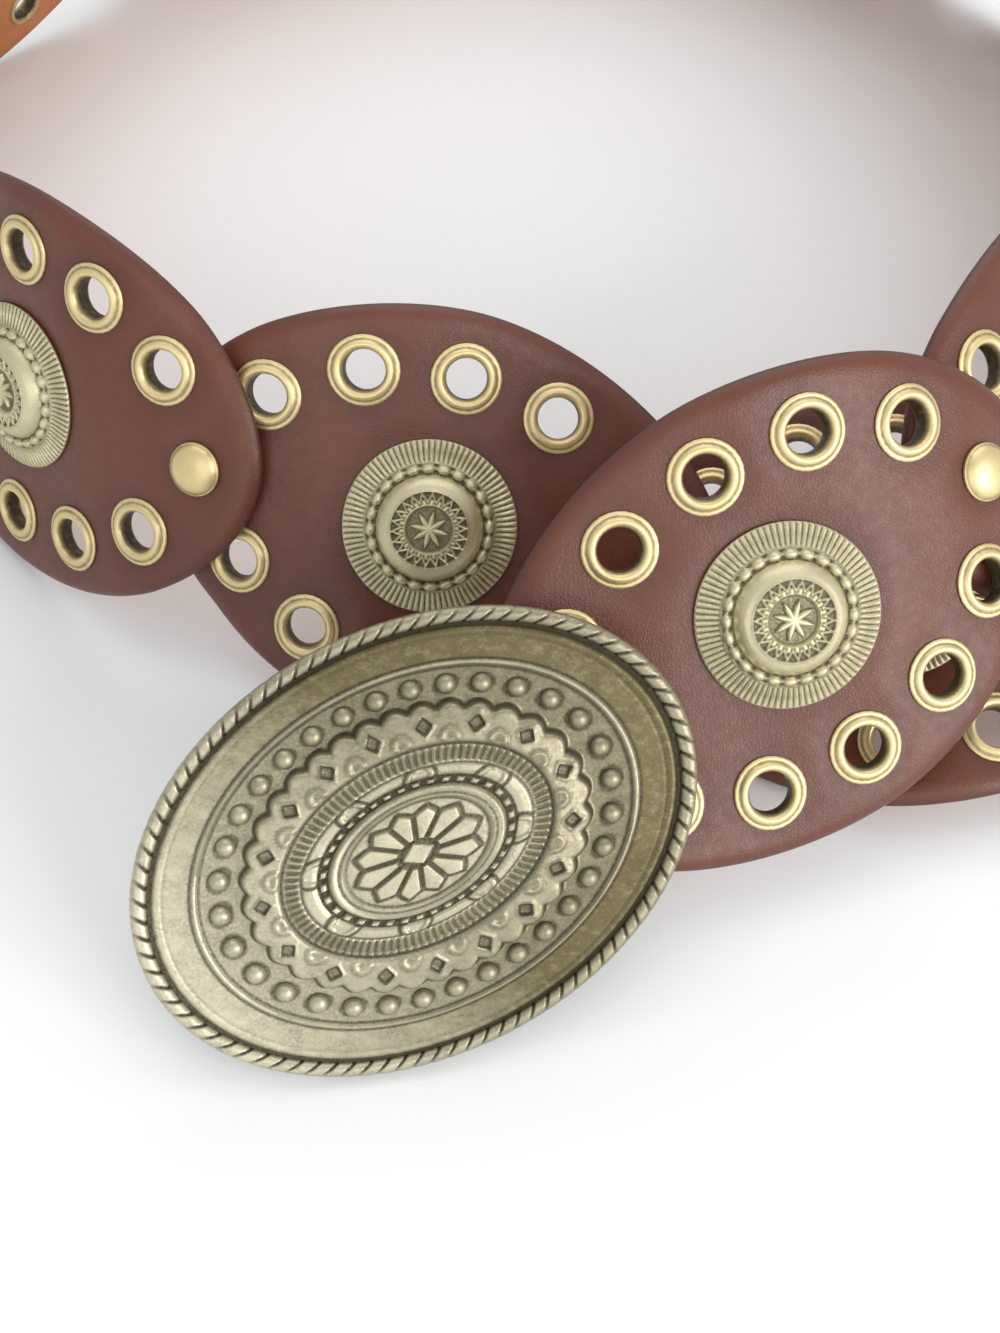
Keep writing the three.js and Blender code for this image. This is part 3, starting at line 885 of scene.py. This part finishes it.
def ornament_face(points):
    """Raises the star, lace ring, rice beads and ribs. Returns heights and recess shares."""
    radius, angle = polar(points)
    height = read_table(ORNAMENT_FORM, radius)

    ray = 2 * math.pi / STAR_RAYS
    off_ray = radius * np.abs(np.sin((angle + ray / 2) % ray - ray / 2))
    ray_width = np.interp(radius, (0, 1.2, 2.3, 3.5), (0.9, 0.6, 0.6, 0.1))
    star = hill(off_ray, ray_width) * (radius < 3.5)
    in_star = radius < 4.2
    height += 0.8 * star * in_star

    tooth = np.abs(((angle * LACE_TEETH / math.pi) % 2) - 1)
    ridge = hill(radius - (LACE_RADIUS + LACE_DEPTH * tooth), 0.5)
    rims = np.maximum(hill(radius - 4.5, 0.35), hill(radius - 7.15, 0.3))
    off_knot = (1 - tooth) * math.pi / LACE_TEETH * LACE_RADIUS
    knots = hill(np.hypot(radius - LACE_RADIUS, off_knot), 0.5)
    lace = np.maximum.reduce([ridge, rims, knots])
    in_lace = (radius > 4.2) & (radius < 7.45)
    height += 0.5 * (lace - 0.6) * in_lace

    bead = 2 * math.pi / RICE_BEADS
    along_bead = ((angle + bead / 2) % bead - bead / 2) * BEAD_RING_RADIUS
    beads = hill(np.hypot((radius - BEAD_RING_RADIUS) / 0.88, along_bead / 1.4), 1)
    in_channel = (radius > 9.9) & (radius < 11.75)
    height += 1.15 * beads * in_channel

    ribs = 0.5 + 0.5 * np.cos(FLANGE_RIBS * angle)
    on_flange = eased(radius, 12, 12.3) * (1 - eased(radius, 15.9, 16.1))
    height -= 0.4 * (1 - ribs) * on_flange
    recess = np.maximum.reduce([
        (0.7 - 0.7 * star) * in_star,
        0.85 * (1 - lace) * in_lace,
        0.85 * (1 - np.sqrt(beads)) * in_channel,
        0.92 * (1 - ribs) ** 2 * on_flange,
        0.5 * hill(radius - 11.95, 0.3),
    ])
    return height, recess


def ornament_mesh():
    """Ornament in its own millimetres: a finely stepped face, a ribbed flange and a post."""
    face_profile = [(0, UNSHAPED), (ORNAMENT_FACE_RADIUS, UNSHAPED)]
    rings = ((0, ORNAMENT_FACE_RINGS),)
    face = spun_mesh("ornament_face", face_profile, ORNAMENT_FACE_STEPS, rings)
    flange_profile = [*((radius, UNSHAPED) for radius in FLANGE_RADII), *ORNAMENT_BACK]
    flange = spun_mesh("ornament_flange", flange_profile, 4 * FLANGE_RIBS)
    mesh = join_meshes("ornament", [(face, Matrix()), (flange, Matrix())])
    points = points_of(mesh)
    is_face = points[:, 2] > 0.9 * UNSHAPED
    height, recess = ornament_face(points)
    points[:, 2] = np.where(is_face, height, points[:, 2])
    set_points(mesh, points)
    store(mesh, "recess", np.where(is_face, recess, 0.6))
    return mesh


class BELT_OT_ornaments(bpy.types.Operator):
    """Models the round ribbed ornaments with their star, lace ring and rice beads"""

    bl_idname = "belt.ornaments"
    bl_label = "Round ornaments"

    def execute(self, context):
        ornament = ornament_mesh()
        set_upright("ornament", ornament, DISCS, 0, "cast_ornament", "concho", 55)
        return {"FINISHED"}


# Buckle: half width and height of its plain form, by half length
BUCKLE_OVALS = (
    (0, 0), (12.9, 7.9), (14, 8.75), (20.5, 12.6), (23.5, 15.6), (29.5, 22), (34, 24.6),
    (38, 27.5), (46.65, 34.1), (50, 37),
)
BUCKLE_FORM = (
    (0, 4.5), (11.6, 4.4), (12.2, 4.3), (12.5, 4.5), (13.1, 5.1), (13.6, 4.7), (14.1, 4.9),
    (14.8, 5.1), (15.3, 4.2), (15.6, 3.5), (17.2, 3.5), (17.5, 3.7), (18.3, 3.9), (19.6, 3.8),
    (20, 3.4), (20.3, 3.5), (20.8, 3.9), (22.6, 3.6), (23.1, 3.2), (23.4, 3.3), (23.8, 4),
    (24.4, 4.1), (28.7, 3.4), (29.15, 3.1), (29.6, 1.5), (30.1, 0.95), (36.6, 0.9), (37.2, 1),
    (37.5, 1.5), (37.8, 1.65), (38.1, 1.5), (38.4, 0.95), (42.8, 0.82), (43.1, 0.72), (43.4, 0.86),
    (44, 0.94), (44.6, 0.8), (44.9, 0.3), (45.8, 0.1), (46.2, -0.3),
)
# Dark grooves along its ovals: half length, half their width and how dark they are
BUCKLE_GROOVES = (
    (12.3, 0.35, 0.8), (13.65, 0.35, 0.8), (20.1, 0.35, 0.85), (23.3, 0.4, 0.95), (37, 0.34, 0.85),
    (38.6, 0.34, 0.85), (43.1, 0.3, 0.35),
)
# How much of the tarnish and painted shade of the upper right each ring takes, by half length
BUCKLE_TARNISH_AND_SHADE = (
    (0, 0.2), (20, 0.3), (23.5, 0.4), (24, 0.58), (29, 0.62), (30, 0.72), (37, 0.76), (37.4, 0.4),
    (38.2, 0.4), (38.6, 1), (45, 1),
)
# Outer edge and back of the cast plate: half length and height. The face starts at UNSHAPED.
BUCKLE_RIM = 46.2
BUCKLE_BACK = -0.4
BUCKLE_UNDERSIDE = ((46.4, -1.2), (45.2, -2), (43.6, -0.8), (42.4, BUCKLE_BACK), (0, BUCKLE_BACK))
FACE_RINGS = 158
FACE_STEPS = 480
# Oval along which the buckle's details are evenly spaced, and the samples that measure it
SPACING_OVAL = (38, 27.5)
SPACING_SAMPLES = 1441
PETALS = 12
SQUARE_BEADS = 36
SQUARE_OVAL = 16.3
SCROLLS = 8
SCROLL_OVAL = 18
RING_RIBS = 96
DIAMONDS = 17
DIAMOND_OVAL = 26.5
ARCH_OVAL = 24.5
SCALLOPS = 34
SCALLOP_DEPTH = 1.15
CHANNEL_BEADS = 32
BEAD_OVAL = 33.6
BEAD_RADIUS = 1.7
BEAD_HEIGHT = 0.95
ROPE_BARS = 88
ROPE_SLANT = 0.24
ROPE_OVAL = 47.05
ROPE_RADIUS = 1.45
ROPE_SIDES = 12
ROPE_HEIGHT = -0.25


def even_angles(turns):
    """Angles that space points evenly along the buckle's ovals, for shares of a full turn."""
    fine = np.linspace(0, 2 * math.pi, SPACING_SAMPLES)
    length, width = SPACING_OVAL
    steps = np.hypot(np.diff(length * np.cos(fine)), np.diff(width * np.sin(fine)))
    lengths = np.concatenate([[0], np.cumsum(steps)])
    return np.interp(turns % 1, lengths / lengths[-1], fine)


def oval_place(size, turns):
    """Plan of a point on the buckle's oval of a half length, at a share of its round."""
    angle = even_angles(turns)
    half_width = read_table(BUCKLE_OVALS, size)
    return np.stack([size * np.cos(angle), half_width * np.sin(angle)], axis=-1)


def round_place(points):
    """Radius of points and their share of a full turn round the Z axis."""
    radius, angle = polar(points)
    return radius, (angle / (2 * math.pi)) % 1


def nearest_of(turns, count, phase=0.0):
    """Signed share of a full turn to the nearest of evenly spaced spots."""
    share = turns * count - phase
    return (share - np.round(share)) / count


def buckle_face(size, turns):
    """Raises the relief of the buckle. Returns shifted sizes, heights and recess shares."""
    half_width = read_table(BUCKLE_OVALS, size)
    girth = 2 * math.pi * np.sqrt((size ** 2 + half_width ** 2) / 2)
    height = read_table(BUCKLE_FORM, size)
    marks = [dark * hill(size - middle, reach) for middle, reach, dark in BUCKLE_GROOVES]

    # Medallion: a lozenge and a ring of kite-shaped petals
    petal_off = np.abs(nearest_of(turns, PETALS))
    side_gap = (0.5 / PETALS - petal_off) * girth
    tip = 11.2 - 1.9 * petal_off * 2 * PETALS - size
    petal = np.minimum(np.minimum(side_gap - 0.12, tip * 0.7), (size - 3.3) * 0.8)
    petal_rise = eased(petal, 0, 0.42)
    keel = hill(petal_off * 2 * PETALS, 1) * petal_rise
    plan = oval_place(size, turns)
    lozenge = 1 - np.abs(plan[:, 0]) / 3.3 - np.abs(plan[:, 1]) / 2.1
    lozenge_rise = eased(lozenge, 0, 0.2)
    in_medallion = size < 12.1
    height += 0.95 * np.maximum(petal_rise * (0.72 + 0.28 * keel), lozenge_rise) * in_medallion
    outline = np.maximum(hill(petal + 0.22, 0.42), hill(lozenge + 0.12, 0.17))
    ground = 0.22 + 0.7 * outline
    marks.append(ground * (1 - np.maximum(petal_rise, lozenge_rise)) * in_medallion)

    # Inner field: small square beads, a cushion and its scrolls
    square_off = np.abs(nearest_of(turns, SQUARE_BEADS)) * SQUARE_BEADS * 2
    square_far = np.abs(size - SQUARE_OVAL)
    square = (1 - eased(square_off, 0.35, 0.65)) * (1 - eased(square_far, 0.4, 0.7))
    in_squares = (size > 15.3) & (size < 17.3)
    height += 0.75 * square * in_squares
    marks.append(0.95 * (1 - square) * in_squares)
    scroll_off = nearest_of(turns, SCROLLS, 0.5) * girth
    scroll_far = np.hypot(scroll_off, (size - SCROLL_OVAL) * 0.85)
    height += 0.4 * hill(scroll_far - 1.9, 0.5) * (size > 17.4) * (size < 20.2)
    marks.append(0.9 * hill(scroll_far - 2.65, 0.45) * (size > 17.4) * (size < 20))

    # Ribbed ring
    rib = 0.5 + 0.5 * np.cos(2 * math.pi * RING_RIBS * turns)
    on_ribs = eased(size, 20.3, 20.8) * (1 - eased(size, 22.7, 23.1))
    height -= 0.7 * (1 - rib) * on_ribs
    marks.append(0.9 * (1 - rib) ** 2 * on_ribs)

    # Plateau: punched diamonds between small arches, and a scalloped wall
    diamond_off = np.abs(nearest_of(turns, DIAMONDS)) * girth
    diamond = 1 - diamond_off / 1.45 - np.abs(size - DIAMOND_OVAL) / 1.5
    height -= 0.5 * eased(diamond, 0, 0.3)
    height += 0.25 * hill(diamond + 0.12, 0.25)
    marks += [0.95 * hill(diamond - 0.14, 0.24), 0.62 * eased(diamond, 0.1, 0.4)]
    arch_off = nearest_of(turns, DIAMONDS, 0.5) * girth
    arch_far = np.hypot(arch_off, size - ARCH_OVAL)
    on_plateau = eased(size, 23.9, 24.2) * (1 - eased(size, 28.4, 28.9))
    height += 0.35 * hill(arch_far - 1.2, 0.42) * on_plateau
    marks.append(0.55 * hill(arch_far, 0.8) * on_plateau)
    marks.append(0.45 * hill(arch_far - 1.9, 0.35) * on_plateau)
    marks.append(0.85 * eased(size, 29.1, 29.4) * (1 - eased(size, 29.7, 30.1)))
    lobe = np.abs(np.cos(math.pi * SCALLOPS * turns))
    near_wall = eased(size, 27.3, 28.8) * (1 - eased(size, 29.9, 31))
    shifted = size + (lobe - 0.75) * SCALLOP_DEPTH * near_wall

    # Channel under the round beads, and the hollow beside the rope
    in_channel = eased(size, 29.9, 30.4) * (1 - eased(size, 36.5, 37))
    bead_far = np.hypot(nearest_of(turns, CHANNEL_BEADS) * girth, size - BEAD_OVAL)
    marks += [0.34 * in_channel, 0.8 * hill(bead_far - 1.9, 0.55) * in_channel]
    marks.append(0.92 * eased(size, 44.4, 45))
    return shifted, height, np.maximum.reduce(marks)


def buckle_body():
    """Cast plate: a finely stepped relief face over a plain recessed back."""
    profile = [(0, UNSHAPED), (BUCKLE_RIM, UNSHAPED), *BUCKLE_UNDERSIDE]
    mesh = spun_mesh("buckle_plate", profile, FACE_STEPS, ((0, FACE_RINGS - 1),))
    points = points_of(mesh)
    size, turns = round_place(points)
    is_face = points[:, 2] > 0.9 * UNSHAPED
    shifted, height, recess = buckle_face(size, turns)
    plan = oval_place(np.where(is_face, shifted, size), turns)
    set_points(mesh, np.column_stack([plan, np.where(is_face, height, points[:, 2])]))
    store(mesh, "recess", np.where(is_face, recess, 0.45))
    store(mesh, "tarnish", read_table(BUCKLE_TARNISH_AND_SHADE, size))
    return mesh


def rope_edge():
    """Rope of slanted bars round the buckle, from a ring with twisted grooves."""
    shape = bmesh.new()
    place = Matrix.Translation((ROPE_OVAL, 0, ROPE_HEIGHT)) @ Matrix.Rotation(math.pi / 2, 4, "X")
    bmesh.ops.create_circle(shape, segments=ROPE_SIDES, radius=ROPE_RADIUS, matrix=place)
    spin_round(shape, 12 * ROPE_BARS)
    mesh = mesh_of(shape, "buckle_rope")
    points = points_of(mesh)
    size, turns = round_place(points)
    out, up = size - ROPE_OVAL, points[:, 2] - ROPE_HEIGHT
    groove = 1 - eased(np.abs(nearest_of(turns, ROPE_BARS)) * ROPE_BARS, 0.06, 0.18)
    top = eased(up, -0.9, -0.3) * (1 - 0.8 * eased(out, 0.3, 1.3))
    up = np.sign(up) * 1.5 * np.abs(up / ROPE_RADIUS) ** 0.7
    thin = 1 - 0.2 * groove * top
    plan = oval_place(ROPE_OVAL + out * thin, turns - out * ROPE_SLANT / ROPE_BARS)
    set_points(mesh, np.column_stack([plan, up * thin + ROPE_HEIGHT]))
    # Painted shade: the rope is painted darker down its lower side.
    underside_shade = 0.8 * (1 - eased(up, -0.9, 0.5))
    store(mesh, "recess", np.maximum(groove * top, underside_shade))
    store(mesh, "tarnish", np.full(len(points), 0.55))
    return mesh


def channel_beads():
    """Ring of round beads in the buckle's channel."""
    shape = bmesh.new()
    turns = np.arange(CHANNEL_BEADS) / CHANNEL_BEADS
    for x, y in oval_place(np.full(CHANNEL_BEADS, BEAD_OVAL), turns):
        place = Matrix.Translation((x, y, BEAD_HEIGHT)) @ Matrix.Diagonal((1, 1, 0.95, 1))
        bmesh.ops.create_icosphere(shape, subdivisions=3, radius=BEAD_RADIUS, matrix=place)
    mesh = mesh_of(shape, "buckle_beads")
    height = points_of(mesh)[:, 2]
    # Painted shade: each bead is painted darker from where it sits in the channel up to its middle,
    # and left light on its top.
    store(mesh, "recess", 0.85 * (1 - eased(height, 0.9, 1.7)))
    store(mesh, "tarnish", np.full(len(height), 0.6))
    return mesh


# Pegs on the buckle's back. The stud's heights are measured from the middle of the leather and the
# hook's from the buckle's back.
STUD_PROFILE = (
    (0, -3.8, 0.3), (3.1, -3.7, 0.3), (3.3, -3.3, 0.4), (1.3, -3.1, 0.7), (1.3, 2.6, 0.7),
)
HOOK_PROFILE = (
    (0, -9.8, 0.2), (2.3, -9.5, 0.2), (3, -8.8, 0.2), (2.9, -8, 0.3), (1.5, -7.3, 0.5),
    (1.5, 1.5, 0.6),
)
PEG_STEPS = 24
STUD_SPOT = np.array([[-RIVET_OFFSET, 0, -LEATHER / 2]])
HOOK_SPOT = (-33, 0, BUCKLE_BACK)


class BELT_OT_buckle(bpy.types.Operator):
    """Models the cast oval buckle: relief face, rope edge, beads, back, stud and hook peg"""

    bl_idname = "belt.buckle"
    bl_label = "Buckle"

    def execute(self, context):
        lie = Matrix(lie_turn(*BUCKLE_LIE)).to_4x4()
        lie.translation = Vector(np.array(BUCKLE_CENTRE) + ORIGIN) * MM
        lie = lie @ Matrix.Scale(MM, 4)
        hook_place = lie @ Matrix.Translation(HOOK_SPOT)
        stud_place = lie.copy()
        stud_place.translation = Vector(DISCS[0].place(STUD_SPOT)[0]) * MM
        mesh = join_meshes("cast_oval_buckle", [
            (buckle_body(), lie),
            (rope_edge(), lie),
            (channel_beads(), lie),
            (toned_mesh("hook", HOOK_PROFILE, PEG_STEPS), hook_place),
            (toned_mesh("stud", STUD_PROFILE, PEG_STEPS), stud_place),
        ])
        add_piece("cast_oval_buckle", mesh, ["cast_buckle"], "buckle", 55)
        return {"FINISHED"}


# Stage, in metres: each light's name, the setting that holds its power, its place and its size
LIGHTS = (
    ("overhead", "overhead_power", (0.1, 0.75, 1.5), 1.8),
    ("window", "side_power", (1.1, -1.1, 0.62), 1.05),
    ("fill", "fill_power", (-0.4, -1.5, 0.72), 1.3),
)
LIGHT_COLOUR = (1, 0.985, 0.97)
SKY_COLOUR = (0.97, 0.98, 1)
SKY_STRENGTH = 0.71
FLOOR_REACH = 4


class BELT_OT_stage(bpy.types.Operator):
    """Sets up the floor, the soft studio lights and the photograph's camera"""

    bl_idname = "belt.stage"
    bl_label = "Stage"

    def execute(self, context):
        settings = context.scene.belt_stage
        collection = context.scene.collection
        shape = bmesh.new()
        bmesh.ops.create_grid(shape, x_segments=1, y_segments=1, size=FLOOR_REACH)
        floor = bpy.data.objects.new("floor", mesh_of(shape, "floor"))
        collection.objects.link(floor)
        tree, shader, _ = new_material("floor")
        feed(tree, shader, Base_Color=settings.floor, Roughness=0.8)
        floor.data.materials.append(bpy.data.materials["floor"])

        for name, power, place, size in LIGHTS:
            lamp = bpy.data.lights.new(name, "AREA")
            lamp.energy = getattr(settings, power)
            lamp.size = size
            lamp.color = LIGHT_COLOUR
            light = bpy.data.objects.new(name, lamp)
            light.location = place
            light.rotation_euler = (-Vector(place)).to_track_quat("-Z", "Y").to_euler()
            collection.objects.link(light)
        world = bpy.data.worlds.new("studio")
        world.use_nodes = True
        background = world.node_tree.nodes["Background"]
        feed(world.node_tree, background, Color=SKY_COLOUR, Strength=SKY_STRENGTH)
        context.scene.world = world
        context.scene.view_settings.view_transform = "Standard"

        elevation = math.radians(CAMERA_ELEVATION)
        away = Vector((0, -math.cos(elevation), math.sin(elevation)))
        lens = bpy.data.cameras.new("photo_camera")
        lens.sensor_fit = "VERTICAL"
        lens.sensor_height = SENSOR_HEIGHT
        lens.lens = SENSOR_HEIGHT * FOCAL_PIXELS / PHOTO_HEIGHT
        camera = bpy.data.objects.new("photo_camera", lens)
        camera.location = Vector(ORIGIN) * MM + away * CAMERA_DISTANCE * MM
        camera.rotation_euler = (-away).to_track_quat("-Z", "Y").to_euler()
        collection.objects.link(camera)
        context.scene.camera = camera
        return {"FINISHED"}


class BELT_PT_panel(bpy.types.Panel):
    """Shows the belt's settings and the buttons that build its pieces"""

    bl_idname = "BELT_PT_panel"
    bl_label = "Wide waist belt"
    bl_space_type = "VIEW_3D"
    bl_region_type = "UI"
    bl_category = "Belt"

    def draw(self, context):
        for group in SETTINGS:
            settings = getattr(context.scene, group)
            box = self.layout.box()
            for name in settings.bl_rna.properties.keys():
                if name not in {"rna_type", "name"}:
                    box.prop(settings, name)
        for operator in OPERATORS:
            self.layout.operator(operator.bl_idname)


SETTINGS = {"belt_leather": BeltLeather, "belt_metal": BeltMetal, "belt_stage": BeltStage}
OPERATORS = (
    BELT_OT_materials,
    BELT_OT_leather,
    BELT_OT_eyelets,
    BELT_OT_rivets,
    BELT_OT_ornaments,
    BELT_OT_buckle,
    BELT_OT_stage,
)


def register():
    for name, settings in SETTINGS.items():
        bpy.utils.register_class(settings)
        setattr(bpy.types.Scene, name, PointerProperty(type=settings))
    for item in (*OPERATORS, BELT_PT_panel):
        bpy.utils.register_class(item)


def unregister():
    for item in reversed((*OPERATORS, BELT_PT_panel)):
        bpy.utils.unregister_class(item)
    for name, settings in SETTINGS.items():
        delattr(bpy.types.Scene, name)
        bpy.utils.unregister_class(settings)


def main():
    register()
    bpy.ops.belt.materials()
    bpy.ops.belt.leather()
    bpy.ops.belt.eyelets()
    bpy.ops.belt.rivets()
    bpy.ops.belt.ornaments()
    bpy.ops.belt.buckle()
    bpy.ops.belt.stage()


if __name__ == "__main__":
    main()
